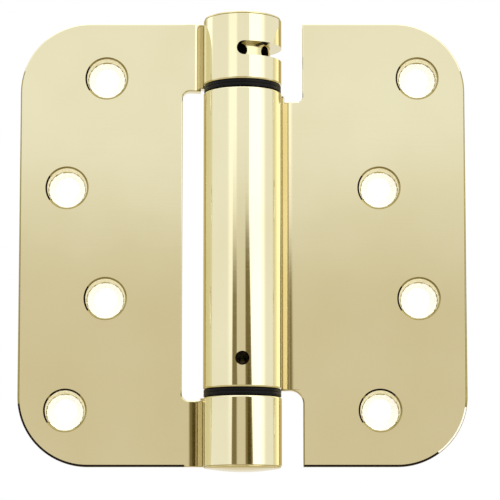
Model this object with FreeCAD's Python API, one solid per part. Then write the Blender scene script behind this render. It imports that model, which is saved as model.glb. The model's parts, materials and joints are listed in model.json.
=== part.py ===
import FreeCAD, Part
import math
import os

# A spring hinge, 4 in by 4 in, opened flat. The barrel axis is Z, +X runs to the door leaf and
# -Y to the side of the countersinks. The origin is on the barrel axis, at half the leaf height.
# Sizes are in millimetres and degrees. An azimuth counts from -Y (the front) towards +X.

# Leaves
LEAF_HEIGHT = 101.6
LEAF_REACH = 50.8
LEAF_CORNER_RADIUS = 15.875
SHEET = 2.6
FACE_OFFSET = 1.8
JOGGLE_ANGLE = 27.5
BEND_RADIUS = 1.5

# Rolled barrel
BARREL_RADIUS = 8.9
SEAM_GAP = 0.4
TOP_KNUCKLE = 15.0
BOTTOM_KNUCKLE = 15.5
KNUCKLE_EDGE_RADIUS = 0.5

# Cut-outs beside the barrel, measured from it, with the web edges set off from the knuckle ends
NOTCH_WIDTH = 4.8
NECK_CLEARANCE = 0.7
JAMB_TOP_WEB_STEP = 0.7
JAMB_BOTTOM_WEB_STEP = 0.6
DOOR_TOP_WEB_STEP = 1.5
JAMB_NOTCH_RADIUS = 1.6
DOOR_TOP_NOTCH_RADIUS = 1.2
DOOR_BOTTOM_NOTCH_RADIUS = 3.0

# Screw holes, staggered in two columns
SCREW_ROW_PITCH = 25.4
SCREW_ROWS = 4
OUTER_COLUMN_INSET = 10.8
INNER_COLUMN_INSET = 19.7
SCREW_HOLE_RADIUS = 2.75
COUNTERSINK_RADIUS = 4.85
COUNTERSINK_ANGLE = 82.0

# Washers, bushes and journals
WASHER_THICKNESS = 1.5
WASHER_INSET = 0.15
WASHER_BORE_CLEARANCE = 0.15
WASHER_EDGE = 0.2
AXIAL_PLAY = 0.1
RUNNING_CLEARANCE = 0.06
PRESS_CLEARANCE = 0.02
BUSH_WALL = 1.72
BUSH_LENGTH = 3.5
END_CHAMFER = 0.4

# Domed heads of the adjuster and the pivot pin
HEAD_INSET = 0.2
HEAD_RIM = 0.4
HEAD_CROWN = 0.8
HEX_ACROSS_FLATS = 4.76
HEX_FLOOR = 1.2

# Tension adjustment
SLOT_DROP = 7.9
SLOT_HEIGHT = 3.2
SLOT_START_AZIMUTH = 2.1
ADJUSTER_HOLES = 6
ADJUSTER_HOLE_RADIUS = 1.5
ADJUSTER_CORE_RADIUS = 3.1
PIN_REST_AZIMUTH = 176.0
PIN_CLEARANCE = 0.05
PIN_RECESS = 0.1
PIN_CHAMFER = 0.3

# Torsion spring, wound left-handed, with a straight tang across each end
WIRE_DIAMETER = 2.0
COIL_BORE_CLEARANCE = 0.4
COIL_GAP = 0.25
TANG_INNER_BEND = 0.35
TANG_SLOT_CLEARANCE = 0.15
TANG_SEAT_CLEARANCE = 0.35
NOSE_CLEARANCE = 0.1
NOSE_PAST_TANG = 0.8
SHOULDER_GAP = 0.5

# Spring anchor and its roll pin
ROLL_PIN_RADIUS = 1.55
ROLL_PIN_WALL = 0.4
ROLL_PIN_SLIT = 0.6
ROLL_PIN_RECESS = 0.7
ANCHOR_WALL = 1.3
ANCHOR_SHOULDER = 2.0

# Room left by cutting tools past the faces they cut, and how near an edge is to a place to lie there
CUT_PAST = 1.0
SAME_PLACE = 1e-6

# Levels along the barrel, from the top down
bore_radius = BARREL_RADIUS - SHEET
half_height = LEAF_HEIGHT / 2
washer_gap = WASHER_THICKNESS + 2 * AXIAL_PLAY
top_knuckle_end = half_height - TOP_KNUCKLE
centre_top = top_knuckle_end - washer_gap
bottom_knuckle_end = BOTTOM_KNUCKLE - half_height
centre_bottom = bottom_knuckle_end + washer_gap
slot_level = half_height - SLOT_DROP

# The fold from the leaf to the barrel: a bend, a straight run and the curl, all of one sheet
tangent_angle = 90 - JOGGLE_ANGLE
tip_angle = tangent_angle - math.degrees(math.acos((bore_radius - SEAM_GAP) / BARREL_RADIUS))
neck = BARREL_RADIUS + NECK_CLEARANCE
notch_edge = BARREL_RADIUS + NOTCH_WIDTH

# The journals run in bushes that are pressed into the ends of the centre knuckle
journal_radius = bore_radius - PRESS_CLEARANCE - BUSH_WALL - RUNNING_CLEARANCE

# Spring levels and radii
wire_radius = WIRE_DIAMETER / 2
coil_radius = bore_radius - COIL_BORE_CLEARANCE - wire_radius
tang_bend_radius = TANG_INNER_BEND + wire_radius
tang_start_radius = math.sqrt((coil_radius - tang_bend_radius) ** 2 - tang_bend_radius ** 2)
nose_radius = tang_start_radius - NOSE_CLEARANCE
adjuster_shoulder = centre_top - BUSH_LENGTH
coil_top = adjuster_shoulder - SHOULDER_GAP - wire_radius
anchor_base = centre_bottom + BUSH_LENGTH + AXIAL_PLAY
roll_pin_level = anchor_base + ANCHOR_WALL + ROLL_PIN_RADIUS
anchor_shoulder = roll_pin_level + ROLL_PIN_RADIUS + ANCHOR_SHOULDER
coil_bottom = anchor_shoulder + SHOULDER_GAP + wire_radius
half_turns = math.floor(2 * (coil_top - coil_bottom) / (WIRE_DIAMETER + COIL_GAP))
half_turn_rise = (coil_top - coil_bottom) / half_turns
pin_radius = ADJUSTER_HOLE_RADIUS - PIN_CLEARANCE


def vector(x, y, z=0.0):
    return FreeCAD.Vector(x, y, z)


def polar(radius, angle, z=0.0):
    """The point at a radius and an angle from +X towards +Y."""
    return vector(radius * math.cos(math.radians(angle)), radius * math.sin(math.radians(angle)), z)


def azimuth_angle(azimuth):
    """The angle from +X of an azimuth, which counts from -Y."""
    return azimuth - 90


def arc(centre, radius, start, end):
    """The arc edge around Z from one angle to a larger one."""
    middle = centre + polar(radius, (start + end) / 2)
    return Part.Arc(centre + polar(radius, start), middle, centre + polar(radius, end)).toShape()


def line(start, end):
    return Part.LineSegment(start, end).toShape()


def extruded(edges, bottom, top):
    """A solid over the closed outline in the XY plane, between two levels."""
    outline = Part.Wire(Part.__sortEdges__(edges))
    face = Part.Face(outline)
    face.translate(vector(0, 0, bottom))
    return face.extrude(vector(0, 0, top - bottom))


def turned(profile, sweep=360.0, start=0.0):
    """A body turned about Z from (radius, level) points, over an angle from a start angle."""
    points = [vector(radius, 0, level) for radius, level in profile]
    face = Part.Face(Part.makePolygon(points + points[:1]))
    face.rotate(vector(0, 0), vector(0, 0, 1), start)
    return face.revolve(vector(0, 0), vector(0, 0, 1), sweep)


def radial_cylinder(radius, inner, outer, angle, level):
    """A round bar pointing out from the axis."""
    return Part.makeCylinder(radius, outer - inner, polar(inner, angle, level), polar(1, angle))


def rounded_block(x_start, x_end, z_start, z_end, corners):
    """A cutting block through the sheet. corners gives the radius at (x end, z start) and (x end, z end)."""
    low_radius, high_radius = corners
    depth = 2 * (BARREL_RADIUS + CUT_PAST)
    block = Part.makeBox(x_end - x_start, depth, z_end - z_start, vector(x_start, -depth / 2, z_start))
    for radius, level in ((low_radius, z_start), (high_radius, z_end)):
        if radius > 0:
            corner = vector(x_end, 0, level)
            edges = [edge for edge in block.Edges if (edge.CenterOfMass - corner).Length < SAME_PLACE]
            block = block.makeFillet(radius, edges)
    return block


def sheet_section():
    """The outline of the sheet on the +X side: leaf, bend, straight run, and curl round the barrel."""
    normal = polar(1, tangent_angle)
    front_bend = SHEET + BEND_RADIUS
    bend_y = FACE_OFFSET + front_bend
    bend_x = (BARREL_RADIUS + BEND_RADIUS - bend_y * normal.y) / normal.x
    bend = vector(bend_x, bend_y)
    bend_end = 270 - JOGGLE_ANGLE
    curl_end = tip_angle + 360
    front_edge = vector(LEAF_REACH, FACE_OFFSET)
    back_edge = vector(LEAF_REACH, FACE_OFFSET + SHEET)
    return [
        line(front_edge, bend + polar(front_bend, 270)),
        arc(bend, front_bend, bend_end, 270),
        line(bend + polar(front_bend, bend_end), normal * bore_radius),
        arc(vector(0, 0), bore_radius, tangent_angle, curl_end),
        line(polar(bore_radius, curl_end), polar(BARREL_RADIUS, curl_end)),
        arc(vector(0, 0), BARREL_RADIUS, tangent_angle, curl_end),
        line(normal * BARREL_RADIUS, bend + polar(BEND_RADIUS, bend_end)),
        arc(bend, BEND_RADIUS, bend_end, 270),
        line(bend + polar(BEND_RADIUS, 270), back_edge),
        line(back_edge, front_edge),
    ]


def knuckle_edge_cutter(level, inward):
    """The ring that rounds the outer edge of a knuckle end. inward is the way into the knuckle, 1 or -1."""
    reach = KNUCKLE_EDGE_RADIUS
    centre = vector(BARREL_RADIUS - reach, 0, level + inward * reach)
    middle = centre + vector(math.sin(math.pi / 4), 0, -inward * math.cos(math.pi / 4)) * reach
    rim = vector(BARREL_RADIUS - reach, 0, level)
    side = vector(BARREL_RADIUS, 0, level + inward * reach)
    outside = vector(BARREL_RADIUS + CUT_PAST, 0, level + inward * reach)
    corner = vector(BARREL_RADIUS + CUT_PAST, 0, level - inward * reach)
    above = vector(BARREL_RADIUS - reach, 0, level - inward * reach)
    edges = [Part.Arc(rim, middle, side).toShape(), line(side, outside), line(outside, corner),
             line(corner, above), line(above, rim)]
    face = Part.Face(Part.Wire(Part.__sortEdges__(edges)))
    face.rotate(vector(0, 0), vector(0, 0, 1), tangent_angle)
    return face.revolve(vector(0, 0), vector(0, 0, 1), 360 + tip_angle - tangent_angle)


def corner_cutter(top):
    """The block outside the rounded outer corner, at the top (1) or bottom (-1) of a leaf."""
    depth = 2 * (BARREL_RADIUS + CUT_PAST)
    x_centre = LEAF_REACH - LEAF_CORNER_RADIUS
    z_centre = top * (half_height - LEAF_CORNER_RADIUS)
    side = LEAF_CORNER_RADIUS + CUT_PAST
    z_low = z_centre if top > 0 else z_centre - side
    block = Part.makeBox(side, depth, side, vector(x_centre, -depth / 2, z_low))
    round_part = Part.makeCylinder(LEAF_CORNER_RADIUS, depth, vector(x_centre, -depth / 2, z_centre),
                                   vector(0, 1, 0))
    return block.cut(round_part)


def screw_hole(x, z):
    """A through hole with its countersink on the front face, made as one turned cutter along Y."""
    sink_depth = (COUNTERSINK_RADIUS - SCREW_HOLE_RADIUS) / math.tan(math.radians(COUNTERSINK_ANGLE / 2))
    slope = math.tan(math.radians(COUNTERSINK_ANGLE / 2))
    profile = [(0, -CUT_PAST), (COUNTERSINK_RADIUS + CUT_PAST * slope, -CUT_PAST),
               (SCREW_HOLE_RADIUS, sink_depth), (SCREW_HOLE_RADIUS, SHEET + CUT_PAST), (0, SHEET + CUT_PAST)]
    cutter = turned(profile)
    cutter.rotate(vector(0, 0), vector(1, 0, 0), -90)
    cutter.translate(vector(x, FACE_OFFSET, z))
    return cutter


def blank_leaf(first_column, knuckle_ends):
    """A leaf on the +X side at full height. first_column is the column of the top screw, 0 for the inner."""
    leaf = extruded(sheet_section(), -half_height, half_height)
    columns = (LEAF_REACH - INNER_COLUMN_INSET, LEAF_REACH - OUTER_COLUMN_INSET)
    cutters = [corner_cutter(1), corner_cutter(-1)]
    for row in range(SCREW_ROWS):
        level = ((SCREW_ROWS - 1) / 2 - row) * SCREW_ROW_PITCH
        cutters.append(screw_hole(columns[(first_column + row) % 2], level))
    cutters += [knuckle_edge_cutter(level, inward) for level, inward in knuckle_ends]
    return leaf.cut(cutters)


def slot_cutter():
    """The slot round the top knuckle, with round ends."""
    half_slot = SLOT_HEIGHT / 2
    start = azimuth_angle(SLOT_START_AZIMUTH)
    rest = azimuth_angle(PIN_REST_AZIMUTH)
    end = rest + math.degrees((half_slot - pin_radius) / BARREL_RADIUS)
    inner = bore_radius - CUT_PAST
    outer = BARREL_RADIUS + CUT_PAST
    band = turned([(inner, slot_level - half_slot), (outer, slot_level - half_slot),
                   (outer, slot_level + half_slot), (inner, slot_level + half_slot)], end - start, start)
    ends = [radial_cylinder(half_slot, inner, outer, angle, slot_level) for angle in (start, end)]
    return band.fuse(ends)


def jamb_leaf():
    """The leaf with the top and bottom knuckles, made on the +X side and mirrored to -X."""
    knuckle_ends = ((half_height, -1), (top_knuckle_end, 1), (bottom_knuckle_end, -1), (-half_height, 1))
    leaf = blank_leaf(0, knuckle_ends)
    barrel_notch = rounded_block(-BARREL_RADIUS - CUT_PAST, neck, bottom_knuckle_end, top_knuckle_end, (0, 0))
    web_notch = rounded_block(neck - CUT_PAST / 2, notch_edge, bottom_knuckle_end - JAMB_BOTTOM_WEB_STEP,
                              top_knuckle_end - JAMB_TOP_WEB_STEP, (JAMB_NOTCH_RADIUS, JAMB_NOTCH_RADIUS))
    leaf = leaf.cut([barrel_notch, web_notch])
    leaf = leaf.mirror(vector(0, 0), vector(1, 0, 0))
    return leaf.cut(slot_cutter())


def door_leaf():
    """The leaf with the long centre knuckle and the hole of the anchor pin."""
    leaf = blank_leaf(1, ((centre_top, -1), (centre_bottom, 1)))
    past_top = half_height + CUT_PAST
    web_top = centre_top - DOOR_TOP_WEB_STEP
    left = -BARREL_RADIUS - CUT_PAST
    web_start = neck - CUT_PAST / 2
    notches = [
        rounded_block(left, neck, centre_top, past_top, (0, 0)),
        rounded_block(web_start, notch_edge, web_top, past_top, (DOOR_TOP_NOTCH_RADIUS, 0)),
        rounded_block(left, neck, -past_top, centre_bottom, (0, 0)),
        rounded_block(web_start, notch_edge, -past_top, centre_bottom, (0, DOOR_BOTTOM_NOTCH_RADIUS)),
    ]
    pin_hole = radial_cylinder(ROLL_PIN_RADIUS + PRESS_CLEARANCE, 0, BARREL_RADIUS + CUT_PAST,
                               azimuth_angle(0), roll_pin_level)
    return leaf.cut(notches + [pin_hole])


def domed_head(seat, outward):
    """A head over an end of the barrel: a low rim under a spherical crown. outward is 1 up, -1 down."""
    rim_radius = BARREL_RADIUS - HEAD_INSET
    dome_radius = (rim_radius ** 2 + HEAD_CROWN ** 2) / (2 * HEAD_CROWN)
    dome_centre = HEAD_RIM + HEAD_CROWN - dome_radius
    half_way = math.asin(rim_radius / dome_radius) / 2
    under = vector(rim_radius, 0)
    rim = vector(rim_radius, 0, HEAD_RIM)
    middle = vector(math.sin(half_way), 0, math.cos(half_way)) * dome_radius + vector(0, 0, dome_centre)
    crown = vector(0, 0, HEAD_RIM + HEAD_CROWN)
    edges = [line(vector(0, 0), under), line(under, rim), Part.Arc(rim, middle, crown).toShape(),
             line(crown, vector(0, 0))]
    head = Part.Face(Part.Wire(Part.__sortEdges__(edges))).revolve(vector(0, 0), vector(0, 0, 1), 360)
    if outward < 0:
        head = head.mirror(vector(0, 0), vector(0, 0, 1))
    head.translate(vector(0, 0, seat))
    return head


def spring_slot(level, opening, direction):
    """The slot across a nose for the spring tang, from past its seat to beyond the nose end."""
    half_width = wire_radius + TANG_SLOT_CLEARANCE
    seat = level - opening * (wire_radius + TANG_SEAT_CLEARANCE)
    far = level + opening * (wire_radius + NOSE_PAST_TANG + CUT_PAST)
    slot = Part.makeBox(2 * coil_radius, 2 * half_width, abs(far - seat),
                        vector(-coil_radius, -half_width, min(seat, far)))
    slot.rotate(vector(0, 0), vector(0, 0, 1), direction)
    return slot


def tang_turn():
    """The bend, in degrees, that turns the wire from the coil to a line through the axis."""
    return 180 - math.degrees(math.acos(tang_bend_radius / (coil_radius - tang_bend_radius)))


def tang_direction(coil_angle, travel):
    """The angle round Z of the tang that starts at a coil end. travel is 1 where the wire goes round
    towards larger angles, -1 towards smaller."""
    return coil_angle + travel * (90 + tang_turn())


def tension_adjuster():
    """Domed head with a hex socket, ring of tommy holes, journal, and nose for the spring tang."""
    body_radius = bore_radius - RUNNING_CLEARANCE
    seat = half_height + AXIAL_PLAY
    body_end = top_knuckle_end
    nose_end = coil_top - wire_radius - NOSE_PAST_TANG
    profile = [(0, nose_end), (nose_radius - END_CHAMFER, nose_end), (nose_radius, nose_end + END_CHAMFER),
               (nose_radius, adjuster_shoulder), (journal_radius, adjuster_shoulder),
               (journal_radius, body_end), (body_radius - END_CHAMFER, body_end),
               (body_radius, body_end + END_CHAMFER), (body_radius, seat), (0, seat)]
    body = turned(profile).fuse(domed_head(seat, 1)).removeSplitter()
    socket_floor = slot_level + ADJUSTER_HOLE_RADIUS + HEX_FLOOR
    socket_top = seat + HEAD_RIM + HEAD_CROWN + CUT_PAST
    corner_radius = HEX_ACROSS_FLATS / 2 / math.cos(math.pi / 6)
    hexagon = [polar(corner_radius, 60 * corner, socket_floor) for corner in range(6)]
    hexagon_face = Part.Face(Part.makePolygon(hexagon + hexagon[:1]))
    socket = hexagon_face.extrude(vector(0, 0, socket_top - socket_floor))
    holes = [radial_cylinder(ADJUSTER_HOLE_RADIUS, ADJUSTER_CORE_RADIUS, bore_radius + CUT_PAST,
                             azimuth_angle(PIN_REST_AZIMUTH) + 360 / ADJUSTER_HOLES * hole, slot_level)
             for hole in range(ADJUSTER_HOLES)]
    slot = spring_slot(coil_top, -1, tang_direction(-180 * half_turns, -1))
    return body.cut([socket, slot] + holes)


def tension_pin():
    """The pin in one tommy hole. It bears on the far end of the slot."""
    inner = ADJUSTER_CORE_RADIUS + AXIAL_PLAY
    outer = BARREL_RADIUS - PIN_RECESS
    profile = [(0, inner), (pin_radius - PIN_CHAMFER, inner), (pin_radius, inner + PIN_CHAMFER),
               (pin_radius, outer - PIN_CHAMFER), (pin_radius - PIN_CHAMFER, outer), (0, outer)]
    pin = turned(profile)
    pin.rotate(vector(0, 0), vector(0, 1, 0), 90)
    pin.rotate(vector(0, 0), vector(0, 0, 1), azimuth_angle(PIN_REST_AZIMUTH))
    pin.translate(vector(0, 0, slot_level))
    return pin


def washer(level):
    """A flat thrust washer standing on a level, with broken edges."""
    outer = BARREL_RADIUS - WASHER_INSET
    inner = journal_radius + WASHER_BORE_CLEARANCE
    top = level + WASHER_THICKNESS
    return turned([(inner, level), (outer - WASHER_EDGE, level), (outer, level + WASHER_EDGE),
                   (outer, top - WASHER_EDGE), (outer - WASHER_EDGE, top), (inner, top)])


def bush(bottom):
    """A sleeve in the end of the centre knuckle, bored for a journal."""
    outer = bore_radius - PRESS_CLEARANCE
    inner = journal_radius + RUNNING_CLEARANCE
    top = bottom + BUSH_LENGTH
    return turned([(inner, bottom), (outer - WASHER_EDGE, bottom), (outer, bottom + WASHER_EDGE),
                   (outer, top - WASHER_EDGE), (outer - WASHER_EDGE, top), (inner, top)])


def spring_end(coil_angle, level, travel):
    """The bend and the tang at one end of the coil. travel is the way the wire goes on round Z."""
    tangent = polar(travel, coil_angle + 90)
    inward = polar(-1, coil_angle)
    start = polar(coil_radius, coil_angle, level)
    bend_centre = start + inward * tang_bend_radius
    turn = tang_turn()
    bend = wire_face(start, tangent).revolve(bend_centre, tangent.cross(inward), turn)
    cosine = math.cos(math.radians(turn))
    sine = math.sin(math.radians(turn))
    tang_start = bend_centre - inward * (tang_bend_radius * cosine) + tangent * (tang_bend_radius * sine)
    tang_way = tangent * cosine + inward * sine
    tang = Part.makeCylinder(wire_radius, tang_start_radius + nose_radius, tang_start, tang_way)
    return [bend, tang]


def wire_face(centre, tangent):
    """The round section of the spring wire."""
    return Part.Face(Part.Wire(Part.Circle(centre, tangent, wire_radius).toShape()))


def half_turn(number):
    """One half turn of the left-hand coil, a half ring tilted so that it climbs by its rise.
    Its ends are level, so each half turn runs on smoothly from the one below."""
    coil_angle = -180 * number
    level = coil_bottom + number * half_turn_rise
    start = polar(coil_radius, coil_angle, level)
    middle = vector(0, 0, level + half_turn_rise / 2)
    tangent = polar(1, coil_angle - 90)
    return wire_face(start, tangent).revolve(middle, tangent.cross(middle - start), 180)


def torsion_spring():
    """The coil with both ends bent in to a tang across the axis."""
    pieces = [half_turn(number) for number in range(half_turns)]
    pieces += spring_end(0, coil_bottom, 1)
    pieces += spring_end(-180 * half_turns, coil_top, -1)
    return pieces[0].fuse(pieces[1:])


def spring_anchor():
    """The plug at the foot of the spring, with a cross hole for the roll pin and a slotted nose."""
    body_radius = bore_radius - PRESS_CLEARANCE
    nose_end = coil_bottom + wire_radius + NOSE_PAST_TANG
    profile = [(0, anchor_base), (body_radius - END_CHAMFER, anchor_base),
               (body_radius, anchor_base + END_CHAMFER), (body_radius, anchor_shoulder - END_CHAMFER),
               (body_radius - END_CHAMFER, anchor_shoulder), (nose_radius, anchor_shoulder),
               (nose_radius, nose_end - END_CHAMFER), (nose_radius - END_CHAMFER, nose_end), (0, nose_end)]
    body = turned(profile)
    slot = spring_slot(coil_bottom, 1, tang_direction(0, 1))
    cross_hole = radial_cylinder(ROLL_PIN_RADIUS + PRESS_CLEARANCE, -BARREL_RADIUS, BARREL_RADIUS,
                                 azimuth_angle(0), roll_pin_level)
    return body.cut([slot, cross_hole])


def anchor_pin():
    """The slotted roll pin through the front wall of the centre knuckle and the anchor."""
    inner = AXIAL_PLAY - math.sqrt(bore_radius ** 2 - ROLL_PIN_RADIUS ** 2)
    outer = BARREL_RADIUS - ROLL_PIN_RECESS
    tube_radius = ROLL_PIN_RADIUS - ROLL_PIN_WALL
    profile = [(tube_radius, inner), (ROLL_PIN_RADIUS - ROLL_PIN_WALL / 2, inner),
               (ROLL_PIN_RADIUS, inner + ROLL_PIN_WALL), (ROLL_PIN_RADIUS, outer - ROLL_PIN_WALL),
               (ROLL_PIN_RADIUS - ROLL_PIN_WALL / 2, outer), (tube_radius, outer)]
    tube = turned(profile)
    slit = Part.makeBox(ROLL_PIN_RADIUS + CUT_PAST, ROLL_PIN_SLIT, outer - inner + 2 * CUT_PAST,
                        vector(0, -ROLL_PIN_SLIT / 2, inner - CUT_PAST))
    tube = tube.cut(slit)
    tube.rotate(vector(0, 0), vector(1, 0, 0), 90)
    tube.translate(vector(0, 0, roll_pin_level))
    return tube


def pivot_pin():
    """Domed head, body pressed into the bottom knuckle, and journal up into the lower bush."""
    body_radius = bore_radius - PRESS_CLEARANCE
    seat = -half_height
    journal_end = centre_bottom + BUSH_LENGTH - AXIAL_PLAY
    profile = [(0, seat), (body_radius, seat), (body_radius, bottom_knuckle_end - END_CHAMFER),
               (body_radius - END_CHAMFER, bottom_knuckle_end), (journal_radius, bottom_knuckle_end),
               (journal_radius, journal_end - END_CHAMFER), (journal_radius - END_CHAMFER, journal_end),
               (0, journal_end)]
    return turned(profile).fuse(domed_head(seat, -1)).removeSplitter()


def write_parts():
    os.makedirs("parts", exist_ok=True)
    parts = {
        "jamb_leaf": jamb_leaf(),
        "door_leaf": door_leaf(),
        "tension_adjuster": tension_adjuster(),
        "tension_pin": tension_pin(),
        "upper_washer": washer(centre_top + AXIAL_PLAY),
        "lower_washer": washer(bottom_knuckle_end + AXIAL_PLAY),
        "upper_bush": bush(centre_top - BUSH_LENGTH),
        "lower_bush": bush(centre_bottom),
        "torsion_spring": torsion_spring(),
        "spring_anchor": spring_anchor(),
        "anchor_pin": anchor_pin(),
        "pivot_pin": pivot_pin(),
    }
    for name, shape in parts.items():
        shape.exportStep("parts/" + name + ".step")
        box = shape.BoundBox
        print("%-18s solids %d valid %s volume %.1f x %.2f..%.2f y %.2f..%.2f z %.2f..%.2f" % (
            name, len(shape.Solids), shape.isValid(), shape.Volume,
            box.XMin, box.XMax, box.YMin, box.YMax, box.ZMin, box.ZMax))


write_parts()
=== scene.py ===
# %% [markdown]
# # A spring loaded door hinge
# The real hinge is two leaves stamped from steel sheet, rolled into the knuckles of one barrel,
# polished, plated with brass and lacquered. The barrel hides a coil spring that shuts the door.
# It is drawn here as a shop shows it: opened flat, upright, and seen from its countersunk side.
# Polished metal has hardly a colour of its own. It shows the room, so in this lesson the room
# matters as much as the hinge.

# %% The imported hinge
import json
import math

import bmesh
import bpy
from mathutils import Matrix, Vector


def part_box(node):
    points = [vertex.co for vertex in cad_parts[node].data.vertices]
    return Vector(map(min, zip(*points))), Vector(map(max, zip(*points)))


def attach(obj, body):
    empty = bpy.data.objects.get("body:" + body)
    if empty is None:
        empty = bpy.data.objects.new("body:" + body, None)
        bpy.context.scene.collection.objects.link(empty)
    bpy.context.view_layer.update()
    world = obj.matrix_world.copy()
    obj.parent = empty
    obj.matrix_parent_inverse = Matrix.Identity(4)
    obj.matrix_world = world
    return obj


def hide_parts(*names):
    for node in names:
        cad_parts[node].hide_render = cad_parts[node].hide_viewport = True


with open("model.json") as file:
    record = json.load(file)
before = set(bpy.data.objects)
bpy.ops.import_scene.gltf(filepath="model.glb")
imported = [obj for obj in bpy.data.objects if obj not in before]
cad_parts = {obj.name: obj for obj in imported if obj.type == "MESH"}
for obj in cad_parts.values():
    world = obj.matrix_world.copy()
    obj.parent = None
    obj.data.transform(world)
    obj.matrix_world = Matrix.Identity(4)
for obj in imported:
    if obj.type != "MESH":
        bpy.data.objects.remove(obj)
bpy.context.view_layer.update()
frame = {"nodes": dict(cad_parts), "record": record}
MM = 0.001

# %% [markdown]
# ## Sizes
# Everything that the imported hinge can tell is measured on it, so that a piece that is modelled
# again here lies exactly where the plain one was. What it can't tell, such as the thickness of
# the sheet, is a named size in millimetres.

# %% Sizes
door_low, door_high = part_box("door_leaf")
jamb_low, jamb_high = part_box("jamb_leaf")
HALF_HEIGHT = jamb_high.z
REACH = door_high.x
BARREL = -door_low.x
BACK = frame["record"]["mounts"][0]["pos_m"][1]
SHEET = 2.6 * MM
FACE = BACK - SHEET
BORE = BARREL - SHEET
CORNER = 15.875 * MM
BEND = 9.4 * MM
JOGGLE = 27.5
SEAM = 0.4 * MM
NECK = BARREL + 0.7 * MM
NOTCH = BARREL + 4.8 * MM
PLAY = 0.1 * MM
TOP_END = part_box("upper_washer")[1].z + PLAY
CENTRE_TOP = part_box("upper_washer")[0].z - PLAY
CENTRE_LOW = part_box("lower_washer")[1].z + PLAY
BOTTOM_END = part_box("lower_washer")[0].z - PLAY
print("barrel radius %.2f mm, knuckle ends at %s mm" % (
    BARREL / MM, [round(z / MM, 2) for z in (TOP_END, CENTRE_TOP, CENTRE_LOW, BOTTOM_END)]))

# %% [markdown]
# ## Colour and one helper for nodes
# Colours are written as the hex values that a picture shows. Shaders add and multiply light, so
# one function turns them to linear. One more adds a node: a socket given as an input is linked,
# and any other value is set.

# %% Colour and node helpers
def colour(hex_value):
    """The linear colour of an sRGB hex value such as F1E7C0."""
    parts = [int(hex_value[i:i + 2], 16) / 255 for i in (0, 2, 4)]
    return tuple(p / 12.92 if p <= 0.04045 else ((p + 0.055) / 1.055) ** 2.4 for p in parts) + (1.0,)


def add(tree, kind, inputs=None, **properties):
    """Adds a node with its properties, and its inputs as values or as links from other sockets."""
    made = tree.nodes.new("ShaderNode" + kind)
    for name, value in properties.items():
        setattr(made, name, value)
    for name, value in (inputs or {}).items():
        if isinstance(value, bpy.types.NodeSocket):
            tree.links.new(value, made.inputs[name])
        else:
            made.inputs[name].default_value = value
    return made


def new_material(name):
    """An empty material with its output, and the coordinates of the piece in metres."""
    made = bpy.data.materials.new(name)
    made.use_nodes = True
    made.node_tree.nodes.clear()
    tree = made.node_tree
    output = add(tree, "OutputMaterial")
    place = add(tree, "TexCoord").outputs["Object"]
    return made, tree, output, place


def stretched(tree, place, spacing, along):
    """Coordinates in which 1 is the spacing, and which run on slowly along the grain. along gives,
    for X, Y and Z, how many spacings a mark is long there."""
    scale = [1 / spacing / length for length in along]
    return add(tree, "Mapping", {"Vector": place, "Scale": scale}).outputs[0]


# %% [markdown]
# ## Polished brass plate
# The leaves are steel, buffed, plated with a few microns of brass, and lacquered so that they
# don't tarnish. Real brass is a strong yellow, but a thin bright plate under lacquer is pale. Three
# things keep it from looking like a computer's mirror: the buffing wheel leaves faint marks across
# the leaf, the sheet isn't quite flat, and the plate's tone drifts a little over the part. The
# marks are 0.05 mm apart on the real hinge. That can't show at this size, so they are drawn 0.3 mm
# apart. The lacquer is a thin coat with a roughness of its own. The wheel hardly gets into the neck
# beside the barrel, which is drawn duller, and deeper in tone as painted shade.

# %% Polished brass plate
BUFFING = 0.30 * MM
BUFFING_DEPTH = 0.0006 * MM
FLATNESS = 7.0 * MM
FLATNESS_DEPTH = 0.004 * MM
TONE_DRIFT = 22 * MM
EVEN = (1, 1, 1)
ACROSS_THE_LEAF = (80, 80, 1)


def brass_plate(name, tone, deep_tone, grain, roughness):
    """Buffed brass plate under lacquer. grain is how many spacings a mark is long in X, Y and Z."""
    made, tree, output, place = new_material(name)
    marks = add(tree, "TexNoise", {"Vector": stretched(tree, place, BUFFING, grain), "Scale": 1.0,
                                   "Detail": 3.0, "Roughness": 0.6})
    drift = add(tree, "TexNoise", {"Vector": stretched(tree, place, TONE_DRIFT, EVEN), "Scale": 1.0,
                                   "Detail": 2.0})
    waves = add(tree, "TexNoise", {"Vector": stretched(tree, place, FLATNESS, EVEN), "Scale": 1.0,
                                   "Detail": 1.0})
    share = add(tree, "MapRange", {"Value": drift.outputs["Fac"], "From Min": 0.35, "From Max": 0.7})
    tint = add(tree, "Mix", {"Factor": share.outputs[0], "A": colour(tone), "B": colour(deep_tone)},
               data_type="RGBA")
    gloss = add(tree, "MapRange", {"Value": marks.outputs["Fac"], "From Min": 0.3, "From Max": 0.7,
                                   "To Min": roughness * 0.75, "To Max": roughness * 1.35})
    flat = add(tree, "Bump", {"Height": waves.outputs["Fac"], "Strength": 1.0, "Distance": FLATNESS_DEPTH})
    buffed = add(tree, "Bump", {"Height": marks.outputs["Fac"], "Strength": 1.0, "Distance": BUFFING_DEPTH,
                                "Normal": flat.outputs[0]})
    shader = add(tree, "BsdfPrincipled", {"Base Color": tint.outputs["Result"], "Metallic": 1.0,
                                          "Roughness": gloss.outputs[0], "Coat Weight": 0.25,
                                          "Coat Roughness": 0.04, "Normal": buffed.outputs[0]})
    tree.links.new(shader.outputs[0], output.inputs["Surface"])
    return made


# Pale gold that mirrors the room, each reflection a little drawn out across the leaf.
LEAF_BRASS = brass_plate("polished_brass_plate_on_steel", "E9E2BD", "E5DDB5", ACROSS_THE_LEAF, 0.06)
# Softer, and deeper in tone as painted shade, so the neck reads as a shade beside the barrel.
NECK_BRASS_WITH_PAINTED_SHADE = brass_plate("duller_brass_plate_in_the_neck", "CDC09A", "C8BA90", ACROSS_THE_LEAF, 0.1)
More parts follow.
